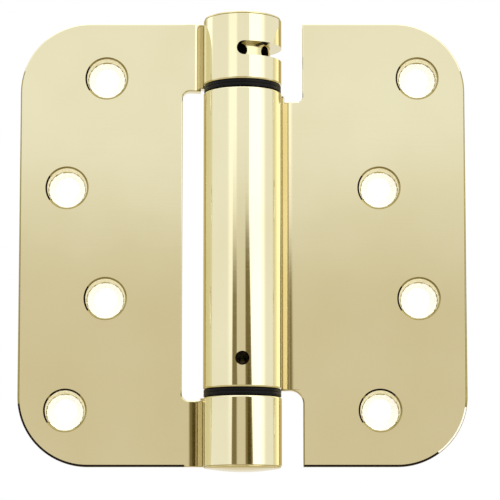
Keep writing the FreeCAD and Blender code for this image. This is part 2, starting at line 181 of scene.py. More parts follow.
# Yellower and softer than the leaves, with marks that run no special way.
TURNED_BRASS = brass_plate("turned_brass_plated_steel", "E6DCAE", "DCCF98", EVEN, 0.12)
print("materials:", LEAF_BRASS.name, NECK_BRASS_WITH_PAINTED_SHADE.name, TURNED_BRASS.name)


# %% [markdown]
# ## The plain metals and the nylon
# The inner pieces are working parts. Zinc plate is a cool grey with a fine dull bloom, hard drawn
# spring wire is dark with oil and drawn along its length, and a sintered bronze bush is brown and
# porous. The washers are black nylon with glass fibre, greased, and deep in their gap, so they show
# hardly any sheen. The roll pin, deep in its hole, and the insides of the cross holes are drawn in
# oiled black oxide, which takes nearly all light. That is partly a real finish and partly painted
# shade, so the holes of a bright hinge look like ink.

# %% Zinc, spring steel, bronze and nylon
def plain_finish(name, tone, deep_tone, metallic, roughness, spacing, depth, **extra):
    """A finish with one scale of grain: its colour, roughness and relief follow the same noise."""
    made, tree, output, place = new_material(name)
    grain = add(tree, "TexNoise", {"Vector": stretched(tree, place, spacing, EVEN), "Scale": 1.0,
                                   "Detail": 4.0})
    tint = add(tree, "Mix", {"Factor": grain.outputs["Fac"], "A": colour(tone), "B": colour(deep_tone)},
               data_type="RGBA")
    gloss = add(tree, "MapRange", {"Value": grain.outputs["Fac"], "To Min": roughness * 0.8,
                                   "To Max": roughness * 1.2})
    relief = add(tree, "Bump", {"Height": grain.outputs["Fac"], "Strength": 1.0, "Distance": depth})
    shader = add(tree, "BsdfPrincipled", {"Base Color": tint.outputs["Result"], "Metallic": metallic,
                                          "Roughness": gloss.outputs[0], "Normal": relief.outputs[0],
                                          **extra})
    tree.links.new(shader.outputs[0], output.inputs["Surface"])
    return made


# Cool grey with a cloudy bloom, so the pin doesn't look chromed.
ZINC = plain_finish("zinc_plated_steel", "C9CCCB", "AEB3B4", 1.0, 0.32, 0.4 * MM, 0.004 * MM)
# Dark, with one thin highlight on each turn.
WIRE = plain_finish("oiled_spring_steel_wire", "5C5B58", "3F3E3C", 1.0, 0.28, 0.3 * MM, 0.003 * MM)
# Brown and grainy, without a sharp highlight.
BRONZE = plain_finish("sintered_bronze", "8F6E45", "6B5032", 1.0, 0.45, 0.15 * MM, 0.01 * MM)
# Black with a trace of sheen, enough for the bands to look round.
NYLON = plain_finish("black_glass_filled_nylon", "0B090B", "050405", 0.0, 0.38, 0.2 * MM, 0.004 * MM,
                     **{"IOR": 1.53, "Specular IOR Level": 0.12})
# Black that gives back nearly nothing, like ink: black oxide on the roll pin, and painted shade on the lower
# edges, rims and the walls of holes and the slot.
BLACK_OXIDE_AND_PAINTED_SHADE = plain_finish("oiled_black_oxide_on_steel", "24170F", "0E0806", 0.0, 0.45, 0.3 * MM, 0.004 * MM,
                           **{"Specular IOR Level": 0.06})

for node_name, finish in (("torsion_spring", WIRE), ("spring_anchor", ZINC), ("anchor_pin", BLACK_OXIDE_AND_PAINTED_SHADE),
                          ("upper_bush", BRONZE), ("lower_bush", BRONZE)):
    frame["nodes"][node_name].data.materials.clear()
    frame["nodes"][node_name].data.materials.append(finish)
print("plain finishes:", ZINC.name, WIRE.name, BRONZE.name, NYLON.name, BLACK_OXIDE_AND_PAINTED_SHADE.name)


# %% [markdown]
# ## Countersinks
# The buffing wheel can't reach into the screw holes. Their cones stay as the tool left them, a
# satin that scatters light instead of mirroring the room. They are drawn near white, a painted
# highlight, so they shine white from any side. The upper part of a cone is a crescent of painted
# shade in the tone of the leaf, where its own rim would shade it. The rim gets an olive painted
# shade, which draws an olive ring round each hole.

# %% Satin cones, their painted highlight and painted shade
# Warm white, a painted highlight, so the cone glows from any side.
CONE_PAINTED_WHITE = plain_finish("satin_brass_plated_cone", "FFFDF4", "FAF5E4", 0.05, 0.5, 0.25 * MM, 0.003 * MM)
# The same satin in the leaf's tone, for the crescent of painted shade.
CONE_IN_PAINTED_SHADE = plain_finish("satin_brass_plated_cone_in_shade", "EAE2BE", "E2D9B0", 0.2, 0.5,
                                 0.25 * MM, 0.003 * MM)
# An olive line of painted shade that still shines, so the rim looks like metal and not like ink.
RIM_PAINTED_SHADE = plain_finish("thin_dark_plate_on_rims", "AC9F68", "8C7F4C", 1.0, 0.16, 0.4 * MM, 0.004 * MM)
LEAF_FINISHES = (LEAF_BRASS, CONE_PAINTED_WHITE, RIM_PAINTED_SHADE, BLACK_OXIDE_AND_PAINTED_SHADE, NECK_BRASS_WITH_PAINTED_SHADE, CONE_IN_PAINTED_SHADE)
ON_WHITE_HIGHLIGHT, ON_RIM_SHADE, ON_PAINTED_BLACK, ON_NECK_SHADE, ON_SHADE = range(1, len(LEAF_FINISHES))
print("finishes of a leaf:", [finish.name for finish in LEAF_FINISHES])


# %% [markdown]
# ## Tools of the sheet metal shop
# A leaf could be modelled face by face, but a press shop's own way is shorter: bend a strip to its
# section, then let the blanking die give it its outline. So one prism carries the section, seen
# along the barrel, and another the outline, seen from the front, and what they share is the leaf.
# Outlines are lists of points, with round stretches as arcs.

# %% Outlines, prisms and cuts
def arc(x, y, radius, start, end, step=3.0):
    """Points on an arc from one angle to another, in degrees, a step apart."""
    count = max(2, math.ceil(abs(end - start) / step))
    angles = [math.radians(start + (end - start) * i / count) for i in range(count + 1)]
    return [(x + radius * math.cos(a), y + radius * math.sin(a)) for a in angles]


def mesh_object(name, bm):
    """The finished bmesh as an object in the scene."""
    mesh = bpy.data.meshes.new(name)
    bmesh.ops.recalc_face_normals(bm, faces=bm.faces)
    bm.to_mesh(mesh)
    bm.free()
    made = bpy.data.objects.new(name, mesh)
    bpy.context.scene.collection.objects.link(made)
    return made


def prism(name, outline, low, high, place):
    """The outline drawn out between two depths. place turns (across, up, depth) into a point."""
    bm = bmesh.new()
    near = [bm.verts.new(place(a, b, low)) for a, b in outline]
    far = [bm.verts.new(place(a, b, high)) for a, b in outline]
    bm.faces.new(near)
    bm.faces.new(far)
    for i in range(len(near)):
        j = (i + 1) % len(near)
        bm.faces.new((near[i], near[j], far[j], far[i]))
    return mesh_object(name, bm)


def along_barrel(x, y, depth):
    return Vector((x, y, depth))


def from_front(x, z, depth):
    return Vector((x, depth, z))


def settle(piece):
    """Applies the piece's modifiers to its mesh."""
    graph = bpy.context.evaluated_depsgraph_get()
    mesh = bpy.data.meshes.new_from_object(piece.evaluated_get(graph))
    piece.modifiers.clear()
    piece.data = mesh


def combine(piece, tool, operation):
    """Cuts the tool out of the piece, or keeps what they share. The tool is used up."""
    step = piece.modifiers.new("cut", "BOOLEAN")
    step.operation = operation
    step.solver = "EXACT"
    step.object = tool
    settle(piece)
    bpy.data.objects.remove(tool)


def turned(name, profile, segments=96):
    """A body turned about the barrel axis, from (radius, level) points. Radius 0 closes it."""
    bm = bmesh.new()
    rings = []
    for radius, level in profile:
        count = 1 if radius == 0 else segments
        turns = [2 * math.pi * i / segments for i in range(count)]
        rings.append([bm.verts.new((radius * math.cos(t), radius * math.sin(t), level)) for t in turns])
    closed = rings if profile[0][0] == 0 else rings + rings[:1]
    for lower, upper in zip(closed, closed[1:]):
        for i in range(segments):
            j = (i + 1) % segments
            corners = [lower[i % len(lower)], lower[j % len(lower)],
                       upper[j % len(upper)], upper[i % len(upper)]]
            corners = list(dict.fromkeys(corners))
            if len(corners) > 2:
                bm.faces.new(corners)
    return mesh_object(name, bm)


# %% [markdown]
# ## Rounded edges
# A die rounds the side that it enters and leaves the other side sharp, and buffing softens both.
# On bright metal these narrow edges do most of the drawing, because each one mirrors a whole sweep
# of the room in a line. Every edge gets its own radius as a bevel weight, and one Bevel modifier
# rounds them all at once, so that they meet cleanly. Points that the cut left closer together than
# a rounding can bear are merged first. Weighted normals then keep the flat faces flat.

# %% Rounding edges
WIDEST = 0.9 * MM
CLOSEST = 0.09 * MM
SHARP = math.radians(30)


def round_edges(piece, radius_of):
    """Rounds the sharp edges. radius_of gives the radius for an edge from its two ends."""
    mesh = piece.data
    bm = bmesh.new()
    bm.from_mesh(mesh)
    bmesh.ops.remove_doubles(bm, verts=bm.verts, dist=CLOSEST)
    bm.to_mesh(mesh)
    radii = []
    for edge in bm.edges:
        turn = edge.calc_face_angle(0.0)
        ends = [Vector(v.co) for v in edge.verts]
        radii.append(radius_of(*ends) if turn > SHARP else 0.0)
    bm.free()
    weights = mesh.attributes.new("bevel_weight_edge", "FLOAT", "EDGE")
    weights.data.foreach_set("value", [r / WIDEST for r in radii])
    step = piece.modifiers.new("rounded edges", "BEVEL")
    step.limit_method = "WEIGHT"
    step.width = WIDEST
    step.segments = 4
    step.loop_slide = False
    step.use_clamp_overlap = False
    settle(piece)
    return sum(r > 0 for r in radii)


def polish(piece, finish, body, replaced):
    """Smooth shading with crisp flats, the finish, and the piece's place in the assembly."""
    piece.data.shade_smooth()
    piece.data.set_sharp_from_angle(angle=SHARP)
    step = piece.modifiers.new("flat faces stay flat", "WEIGHTED_NORMAL")
    step.keep_sharp = True
    step.weight = 100
    if not piece.data.materials:
        piece.data.materials.append(finish)
    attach(piece, body)
    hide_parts(replaced)
    print(piece.name, len(piece.data.polygons), "faces, rides on", body)


# %% [markdown]
# ## The section of a leaf
# The strip leaves the flat leaf in a soft bend, runs straight, and is then curled round a mandrel
# until its tip nearly meets itself at the back. All of it is one sheet of one thickness. The bend is
# wide, which together with the painted shade of the neck gives the neck of the leaf its dark band:
# a tight bend would show it as a hair.

# %% The section of a leaf
tangent = 90 - JOGGLE
bend_y = FACE + SHEET + BEND
bend_x = (BARREL + BEND - bend_y * math.sin(math.radians(tangent))) / math.cos(math.radians(tangent))


def front_face(x):
    """How deep the front of the sheet lies at a place across the leaf, bend included."""
    return bend_y - math.sqrt((SHEET + BEND) ** 2 - max(bend_x - x, 0) ** 2)


def leaf_section():
    """The closed outline of the bent and curled strip, seen along the barrel, on the +X side."""
    tip = tangent - math.degrees(math.acos((BORE - SEAM) / BARREL)) + 360
    points = [(REACH + BEND, FACE)]
    points += arc(bend_x, bend_y, SHEET + BEND, 270, 270 - JOGGLE, 2.5)
    points += arc(0, 0, BORE, tangent, tip, 2.5)
    points += arc(0, 0, BARREL, tip, tangent, 2.5)
    points += arc(bend_x, bend_y, BEND, 270 - JOGGLE, 270, 2.5)
    points += [(REACH + BEND, BACK)]
    return points


# %% [markdown]
# ## The outlines that the die cuts
# Each leaf has 5/8 in corners, and cut-outs beside the barrel so that the other leaf's knuckles can
# turn past it. The jamb leaf keeps the two short knuckles, the door leaf the long one.

# %% The outlines of the leaves
def outer_side(top, low):
    """The outline down the outer side of a leaf and round its corners, from one given end to the other."""
    x = REACH - CORNER
    z = HALF_HEIGHT - CORNER
    return [top] + arc(x, z, CORNER, 90, 0) + arc(x, -z, CORNER, 0, -90) + [low]


def jamb_outline():
    """Two knuckles, and one long cut-out between them, drawn on the +X side."""
    past = -BARREL - MM
    low = BOTTOM_END - 0.6 * MM
    high = TOP_END - 0.7 * MM
    radius = 1.6 * MM
    points = outer_side((past, HALF_HEIGHT), (past, -HALF_HEIGHT))
    points += [(past, BOTTOM_END), (NECK, BOTTOM_END), (NECK, low)]
    points += arc(NOTCH - radius, low + radius, radius, -90, 0, 6)
    points += arc(NOTCH - radius, high - radius, radius, 0, 90, 6)
    return points + [(NECK, high), (NECK, TOP_END), (past, TOP_END)]


def door_outline():
    """One long knuckle, and a cut-out above and below it."""
    past = -BARREL - MM
    web = CENTRE_TOP - 1.5 * MM
    upper = 1.2 * MM
    lower = 3.0 * MM
    points = outer_side((NOTCH, HALF_HEIGHT), (NOTCH, -HALF_HEIGHT))
    points += arc(NOTCH - lower, CENTRE_LOW - lower, lower, 0, 90, 6)
    points += [(past, CENTRE_LOW), (past, CENTRE_TOP), (NECK, CENTRE_TOP), (NECK, web)]
    return points + arc(NOTCH - upper, web + upper, upper, -90, 0, 6)


# %% [markdown]
# ## Screw holes
# A countersink is a cone of 82 degrees with a short round land behind it. The tool that cuts it here
# has a rounded shoulder, which breaks the rim, so the hole catches a thin line of the room round it
# and a bright cone inside. Both leaves have four, staggered in two columns.

# %% The countersink tool
RIM = 5.0 * MM
LAND = 2.75 * MM
CONE = math.radians(82 / 2)
SHOULDER = 0.62 * MM
SHOULDER_STEPS = 6
CONE_RINGS = 16
ROWS = [1.5, 0.5, -0.5, -1.5]
ROW_PITCH = 25.4 * MM
COLUMNS = (REACH - 19.7 * MM, REACH - 10.8 * MM)


def countersink(x, z):
    """The cutter for one screw hole, from beyond the front face to beyond the back."""
    turn = math.pi / 2 - CONE
    profile = [(0, -MM), (RIM + 1.6 * MM, -MM)]
    for i in range(SHOULDER_STEPS + 1):
        angle = turn * (0.12 + 0.88 * i / SHOULDER_STEPS)
        profile.append((RIM - SHOULDER * math.sin(angle), SHOULDER * (1 - math.cos(angle))))
    shoulder, depth = profile[-1]
    for i in range(1, CONE_RINGS + 1):
        inward = (shoulder - LAND) * i / CONE_RINGS
        profile.append((shoulder - inward, depth + inward / math.tan(CONE)))
    profile += [(LAND, SHEET + MM), (0, SHEET + MM)]
    tool = turned("countersink", profile, 72)
    for vertex in tool.data.vertices:
        across, over, down = vertex.co
        vertex.co = (x + across, FACE + down, z - over)
    return tool


# %% [markdown]
# ## The sheared edges
# The lower edges are drawn in a black line of painted shade, and the upright ones in a brown line
# of painted shade. The round lower corner on the right gets a painted highlight, so it shines. The
# rounding is already a row of narrow faces, so each face takes the painted shade or highlight for
# the way it looks.

# %% The finish of the edges
SKIN = 0.02 * MM
STEEP = 0.23
UPRIGHT = 0.9
FRONTMOST = -0.99
SIDEMOST = -0.1
ROUNDED_DEPTH = 0.55 * MM


def is_neck(middle, normal):
    """Whether a face lies on the front of the neck, on its steeper part beside the barrel."""
    beside = BARREL * 0.9 < abs(middle.x) < bend_x and math.hypot(middle.x, middle.y) > BARREL + SKIN
    return beside and normal.y < -0.5 and abs(normal.x) > STEEP


def paint_edge_light(piece, side):
    """Paints shade and highlight on the rounded front edges of a leaf, by the way they face: left, right or
    down.
    """
    for face in piece.data.polygons:
        middle, normal = face.center, face.normal
        # Painted shade: the steep front of the neck gets the deeper tone.
        if is_neck(middle, normal):
            face.material_index = ON_NECK_SHADE
        rounded = FRONTMOST < normal.y < SIDEMOST and middle.y < FACE + ROUNDED_DEPTH
        if not rounded or abs(middle.x) < NOTCH - 0.3 * MM or face.material_index:
            continue
        outward = normal.xz.normalized()
        low = middle.z < CORNER - HALF_HEIGHT
        # Painted shade: a black line along the lower edges.
        if low and outward.y < (-0.1 if side < 0 else -0.8):
            face.material_index = ON_PAINTED_BLACK
        # Painted highlight on the round lower corner on the right, with olive painted shade beside it.
        elif low and side > 0 and outward.x > 0 and outward.y < -0.15:
            face.material_index = ON_WHITE_HIGHLIGHT if normal.y < -0.7 else ON_RIM_SHADE
        # Painted shade: a brown line on the upright edges.
        elif abs(outward.x) > UPRIGHT and (abs(middle.x) > REACH - MM or middle.z < CENTRE_LOW):
            face.material_index = ON_RIM_SHADE


# %% [markdown]
# ## Painted highlight and shade in the holes
# Seen from low in front, a countersink shows a white circle, set a little low, with the shaded
# crescent over it and a thin olive line between the two. All three are painted: the white circle is a
# painted highlight, the crescent and the line are painted shade. The rim is olive too, painted shade,
# and black at its left and over the top of the lowest holes, a deeper painted shade.

# %% Painted highlight and shade in the holes
WHITE_RADIUS = 4.1 * MM
WHITE_LINE = 4.26 * MM
WHITE_DROP = 0.42 * MM
LOWEST_ROW = -30 * MM


def painted_hole_light(away, across, up, level):
    """Picks the painted highlight or painted shade for a countersink at a place across and up from its middle,
    for a hole at a level.
    """
    if away > RIM - 0.8 * SHOULDER:
        shaded = across < -0.82 * away or (level < LOWEST_ROW and up > 0.7 * away)
        return ON_PAINTED_BLACK if shaded else ON_RIM_SHADE
    from_white = math.hypot(across, up + WHITE_DROP)
    return ON_WHITE_HIGHLIGHT if from_white < WHITE_RADIUS else ON_RIM_SHADE if from_white < WHITE_LINE else ON_SHADE


# %% [markdown]
# ## The leaves
# All the shop's steps in their order: bend, blank, round the edges, sink the holes, finish. The jamb
# leaf is made on the +X side like the other one and is then mirrored.

# %% The leaves
FINE_ROUND = 0.15 * MM
KNUCKLE_ROUND = 0.5 * MM
LEAF_ROUND = 0.3 * MM
LOWER_ROUND = 0.5 * MM
SAME_LEVEL = 1e-6


def leaf(name, outline, first_column, ends, side):
    """Section and outline brought together, edges rounded, holes sunk. side mirrors it to -X."""
    piece = prism(name, leaf_section(), -HALF_HEIGHT - MM, HALF_HEIGHT + MM, along_barrel)
    combine(piece, prism("outline", outline, -BARREL - MM, BARREL + MM, from_front), "INTERSECT")

    def radius_of(a, b):
        level = abs(a.z - b.z) < SAME_LEVEL / 10 and min(abs(a.z - end) for end in ends) < SAME_LEVEL
        rings = [math.hypot(p.x, p.y) for p in (a, b)]
        if level and min(rings) > BARREL - 0.05 * MM and max(a.x, b.x) < BARREL:
            return FINE_ROUND if abs(a.z) > HALF_HEIGHT - MM else KNUCKLE_ROUND
        if max(rings) < BORE + 0.1 * MM or (level and min(a.x, b.x) < bend_x - 0.1 * MM):
            return FINE_ROUND
        middle = (a + b) / 2
        if max(a.y, b.y) > front_face(middle.x) + 0.2 * MM:
            return FINE_ROUND
        low = middle.z < CORNER - HALF_HEIGHT and middle.x > NOTCH + 0.1 * MM
        return LOWER_ROUND if low else LEAF_ROUND

    rounded = round_edges(piece, radius_of)
    for finish in LEAF_FINISHES:
        piece.data.materials.append(finish)
    places = [(COLUMNS[(first_column + row) % 2], share * ROW_PITCH) for row, share in enumerate(ROWS)]
    for x, z in places:
        combine(piece, countersink(x, z), "DIFFERENCE")
    # Painted highlight and shade in and round each countersink.
    for face in piece.data.polygons:
        middle = face.center
        away, across, up, level = min((math.hypot(middle.x - x, middle.z - z), middle.x - x, middle.z - z, z)
                                      for x, z in places)
        if away < RIM and abs(face.normal.y) < 0.999:
            face.material_index = painted_hole_light(away, across * side, up, level)
    for vertex in piece.data.vertices:
        vertex.co.x *= side
    if side < 0:
        piece.data.flip_normals()
    paint_edge_light(piece, side)
    print(name, "has", rounded, "rounded edges")
    return piece


jamb = leaf("jamb_leaf_plated", jamb_outline(), 0, (HALF_HEIGHT, TOP_END, BOTTOM_END, -HALF_HEIGHT), -1)
door = leaf("door_leaf_plated", door_outline(), 1, (CENTRE_TOP, CENTRE_LOW), 1)

# %% [markdown]
# ## The slot and the pin hole
# The top knuckle has a slot part of the way round, so that a bar can reach the holes of the tension
# adjuster behind it. Lower down, a roll pin goes through the centre knuckle and holds the foot of the
# spring. Both are cut through the curled sheet, so they come after the leaves.

# %% The slot and the pin hole
SLOT_LEVEL = HALF_HEIGHT - 7.9 * MM
SLOT_HALF = 1.6 * MM
SLOT_FROM = 2.1
SLOT_TO = 177.0
ROUND_STEPS = 12
LONG_STEPS = 24
PIN_HOLE = 1.57 * MM
PIN_LEVEL = (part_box("anchor_pin")[0].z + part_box("anchor_pin")[1].z) / 2


def slot_tool():
    """A band between two azimuths with round ends, drawn unrolled and then wrapped on the barrel."""
    ends = [math.radians(a) for a in (SLOT_FROM, SLOT_TO)]

    def round_end(azimuth, start):
        turns = [start + math.pi * i / ROUND_STEPS for i in range(ROUND_STEPS + 1)]
        return [(azimuth + SLOT_HALF / BARREL * math.cos(t), SLOT_HALF * math.sin(t)) for t in turns]

    between = [ends[0] + (ends[1] - ends[0]) * i / LONG_STEPS for i in range(1, LONG_STEPS)]
    sides = [round_end(ends[0], math.pi / 2), [(a, -SLOT_HALF) for a in between],
             round_end(ends[1], -math.pi / 2), [(a, SLOT_HALF) for a in reversed(between)]]
    points = sum(sides, [])
    bm = bmesh.new()
    rings = []
    for radius in (BORE - MM, BARREL + MM):
        rings.append([bm.verts.new((radius * math.sin(a), -radius * math.cos(a), SLOT_LEVEL + z))
                      for a, z in points])
    count = len(points)
    for i in range(count):
        j = (i + 1) % count
        bm.faces.new((rings[0][i], rings[0][j], rings[1][j], rings[1][i]))
    low_start = len(sides[0])
    right_start = low_start + len(sides[1])
    high_start = right_start + len(sides[2])
    for ring in rings:
        left, right = ring[:low_start], ring[right_start:high_start]
        low, high = ring[low_start:right_start], ring[high_start:][::-1]
        bm.faces.new(left)
        bm.faces.new(right)
        strip_low = [left[-1]] + low + [right[0]]
        strip_high = [left[0]] + high + [right[-1]]
        for i in range(len(strip_low) - 1):
            bm.faces.new((strip_low[i], strip_low[i + 1], strip_high[i + 1], strip_high[i]))
    return mesh_object("slot", bm)


def pin_tool(radius, angle, level, inner, outer, segments=32):
    """A round bar that points out from the barrel axis at an azimuth."""
    tool = turned("bar", [(0, inner), (radius, inner), (radius, outer), (0, outer)], segments)
    a = math.radians(angle)
    out = Vector((math.sin(a), -math.cos(a), 0))
    side = Vector((math.cos(a), math.sin(a), 0))
    for vertex in tool.data.vertices:
        x, y, z = vertex.co
        vertex.co = out * z + side * x + Vector((0, 0, level + y))
    return tool


def paint_wall_shade(piece, level, half, index, left=-BARREL, right=BARREL):
    """Paints shade on the walls and the floor of a cut in the barrel, with another of the piece's finishes."""
    for face in piece.data.polygons:
        middle = face.center
        ring = math.hypot(middle.x, middle.y)
        outward = (face.normal.x * middle.x + face.normal.y * middle.y) / ring
        wall = ring < BARREL - SKIN and abs(outward) < UPRIGHT
        if abs(middle.z - level) < half and left < middle.x < right and (wall or ring < BORE - MM):
            face.material_index = index


SHADE_FROM = 3.6 * MM
SHADE_TO = 5.6 * MM
combine(jamb, slot_tool(), "DIFFERENCE")
# Painted shade in the slot: its walls are olive on the left, and black from SHADE_FROM to SHADE_TO.
paint_wall_shade(jamb, SLOT_LEVEL, SLOT_HALF + PLAY, ON_RIM_SHADE, right=SHADE_FROM)
paint_wall_shade(jamb, SLOT_LEVEL, SLOT_HALF + PLAY, ON_PAINTED_BLACK, left=SHADE_FROM, right=SHADE_TO)
combine(door, pin_tool(PIN_HOLE, 0, PIN_LEVEL, 2 * MM, BARREL + MM), "DIFFERENCE")
# Painted shade: the walls of the pin hole are black.
paint_wall_shade(door, PIN_LEVEL, PIN_HOLE + 0.03 * MM, ON_PAINTED_BLACK)
polish(jamb, LEAF_BRASS, "jamb_side", "jamb_leaf")
polish(door, LEAF_BRASS, "door_side", "door_leaf")

# %% [markdown]
# ## Turned pieces
# The adjuster, the pivot pin, the washers and the tension pin come off a lathe or out of a round
# mould. A half section turned about the axis makes each of them, and a small bevel by angle breaks
# the edges.

# %% Turned pieces
def lathe(name, profile, edge, finish, body, replaced, cutters=()):
    """A turned piece with broken edges and cut-outs, whose walls get black painted shade."""
    piece = turned(name, profile)
    piece.data.materials.append(finish)
    if cutters:
        piece.data.materials.append(BLACK_OXIDE_AND_PAINTED_SHADE)
    step = piece.modifiers.new("broken edges", "BEVEL")
    step.width = edge
    step.segments = 3
    step.limit_method = "ANGLE"
    step.angle_limit = SHARP
    settle(piece)
    for cutter in cutters:
        combine(piece, cutter, "DIFFERENCE")
    if cutters:
        paint_wall_shade(piece, SLOT_LEVEL, SLOT_HALF, len(piece.data.materials) - 1)
    polish(piece, finish, body, replaced)


HEAD = BARREL - 0.2 * MM
HEAD_RIM = 0.4 * MM
CROWN = 0.8 * MM
HEAD_ROUND = 0.25 * MM


def dome(seat, outward):
    """The half section of a domed head, from its middle over its soft rim and in under it."""
    radius = (HEAD ** 2 + CROWN ** 2) / (2 * CROWN)
    half = math.asin((HEAD - HEAD_ROUND) / radius)
    points = []
    for i in range(13):
        angle = half * i / 12
        points.append((radius * math.sin(angle),
                       seat + outward * (HEAD_RIM + CROWN - radius * (1 - math.cos(angle)))))
    for i in range(1, 6):
        angle = half + (math.pi / 2 - half) * i / 5
        points.append((HEAD - HEAD_ROUND + HEAD_ROUND * math.sin(angle),
                       seat + outward * (HEAD_RIM - HEAD_ROUND * (1 - math.cos(angle)) * 0.8)))
    return points + [(HEAD, seat)]


ADJUSTER_BODY = BORE - 0.06 * MM
JOURNAL = 4.5 * MM
NOSE_RADIUS = 3.1 * MM
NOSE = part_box("tension_adjuster")[0].z
SHOULDER_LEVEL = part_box("upper_bush")[0].z
BROKEN_EDGE = 0.12 * MM
adjuster_profile = dome(HALF_HEIGHT + PLAY, 1) + [
    (ADJUSTER_BODY, HALF_HEIGHT + PLAY), (ADJUSTER_BODY, TOP_END), (JOURNAL, TOP_END),
    (JOURNAL, SHOULDER_LEVEL), (NOSE_RADIUS, SHOULDER_LEVEL), (NOSE_RADIUS, NOSE), (0, NOSE)]
HOLE_RADIUS = 1.5 * MM
HOLE_DEPTH = 3.1 * MM
HOLE_AZIMUTH = 176
HOLE_PITCH = 60
adjuster_cutters = [pin_tool(HOLE_RADIUS, azimuth, SLOT_LEVEL, HOLE_DEPTH, BORE + MM)
                    for azimuth in range(HOLE_AZIMUTH, HOLE_AZIMUTH + 360, HOLE_PITCH)]
SOCKET_CORNER = 2.748 * MM
SOCKET_FLOOR = SLOT_LEVEL + 2.7 * MM
SOCKET_TOP = HALF_HEIGHT + 3 * MM
socket = turned("hex", [(0, SOCKET_FLOOR), (SOCKET_CORNER, SOCKET_FLOOR), (SOCKET_CORNER, SOCKET_TOP),
                        (0, SOCKET_TOP)], 6)
lathe("adjuster_turned", adjuster_profile, BROKEN_EDGE, TURNED_BRASS, "adjuster",
      "tension_adjuster", adjuster_cutters + [socket])

PIVOT_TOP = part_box("pivot_pin")[1].z
PIVOT_BODY = BORE - 0.02 * MM
pivot_profile = dome(-HALF_HEIGHT, -1) + [(PIVOT_BODY, -HALF_HEIGHT), (PIVOT_BODY, BOTTOM_END),
                                          (JOURNAL, BOTTOM_END), (JOURNAL, PIVOT_TOP), (0, PIVOT_TOP)]
lathe("pivot_pin_turned", pivot_profile, BROKEN_EDGE, TURNED_BRASS, "jamb_side",
      "pivot_pin")

for name, body in (("upper_washer", "door_side"), ("lower_washer", "jamb_side")):
    low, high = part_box(name)
    outer = high.x
    inner = JOURNAL + 0.15 * MM
    groove = 0.12 * MM
    middle = (low.z + high.z) / 2
    lathe(name + "_moulded", [(inner, low.z), (outer, low.z), (outer, middle - groove), (outer - groove, middle),
                              (outer, middle + groove), (outer, high.z), (inner, high.z)],
          0.1 * MM, NYLON, body, name)

TENSION_PIN = 1.45 * MM
PIN_TIP = 3.2 * MM
pin = pin_tool(TENSION_PIN, HOLE_AZIMUTH, SLOT_LEVEL, PIN_TIP, BARREL - PLAY, 40)
pin.name = "tension_pin_drawn"
step = pin.modifiers.new("chamfer", "BEVEL")
step.width = 0.3 * MM
step.segments = 2
step.angle_limit = SHARP
settle(pin)
polish(pin, ZINC, "stop_pin", "tension_pin")

# %% [markdown]
# ## The studio
# Bright metal is lit by cards more than by lamps. The room is an even white tent. A strong soft
# box stands to the right of the camera and gives the barrel its white stripe, a weaker one stands
# to the left, and a tan bench with dark edges stands low in front, where the camera is: it gives
# the barrel its dark lines and warms the foot of the leaves. Each card is a patch of a large
# sphere round the hinge, given by the directions in which the hinge sees it. Directions don't
# change over so small an object when the cards are 4 m away. The camera doesn't see the cards.

# %% The cards
def card_finish(name, tone, strength, feather):
    """An even glow that fades out towards the edges of the card."""
    made, tree, output, place = new_material(name)
    across = add(tree, "SeparateXYZ", {"Vector": place.node.outputs["UV"]})
    sides = []
    for i, axis in enumerate(("X", "X", "Y", "Y")):
        value = across.outputs[axis]
        if i % 2:
            value = add(tree, "Math", {0: 1.0, 1: value}, operation="SUBTRACT").outputs[0]
        sides.append(add(tree, "MapRange", {"Value": value, "From Max": max(feather[i], 0.001)},
                         interpolation_type="SMOOTHSTEP").outputs[0])
    fade = sides[0]
    for side in sides[1:]:
        fade = add(tree, "Math", {0: fade, 1: side}, operation="MULTIPLY").outputs[0]
    clear = add(tree, "BsdfTransparent")
    glow = add(tree, "Emission", {"Color": colour(tone), "Strength": strength})
    mixed = add(tree, "MixShader", {0: fade, 1: clear.outputs[0], 2: glow.outputs[0]})
    tree.links.new(mixed.outputs[0], output.inputs["Surface"])
    return made


def sky_patch(low, high, distance=4.0):
    """A patch of a sphere round the hinge. Its lower edge, low, and its upper edge, high, are each
    given as left azimuth, right azimuth and elevation. Azimuth 0 is the camera's side, 90 the right."""
    def place(across, up):
        elevation = math.radians(low[2] + (high[2] - low[2]) * up)
        left, right = (low[i] + (high[i] - low[i]) * up for i in (0, 1))
        azimuth = math.radians(left + (right - left) * across)
        return distance * Vector((math.sin(azimuth) * math.cos(elevation),
                                  -math.cos(azimuth) * math.cos(elevation), math.sin(elevation)))
    return place


def floor_patch(left, right, front, rear, level):
    """A flat patch just over the floor."""
    def place(across, up):
        return Vector((left + (right - left) * across, front + (rear - front) * up, FLOOR_LEVEL + level))
    return place


def card(name, patch, tone, strength, feather, steps=16):
    """A card over a patch. feather gives the faded share left, right, low and high."""
    bm = bmesh.new()
    layer = bm.loops.layers.uv.new("card")
    shares = [i / steps for i in range(steps + 1)]
    grid = [[bm.verts.new(patch(across, up)) for across in shares] for up in shares]
    for row in range(steps):
        for column in range(steps):
            places = ((row, column), (row, column + 1), (row + 1, column + 1), (row + 1, column))
            face = bm.faces.new([grid[r][c] for r, c in places])
            for loop, (r, c) in zip(face.loops, places):
                loop[layer].uv = (c / steps, r / steps)
    made = mesh_object(name, bm)
    made.data.materials.append(card_finish(name, tone, strength, feather))
    made.visible_camera = False
    return made


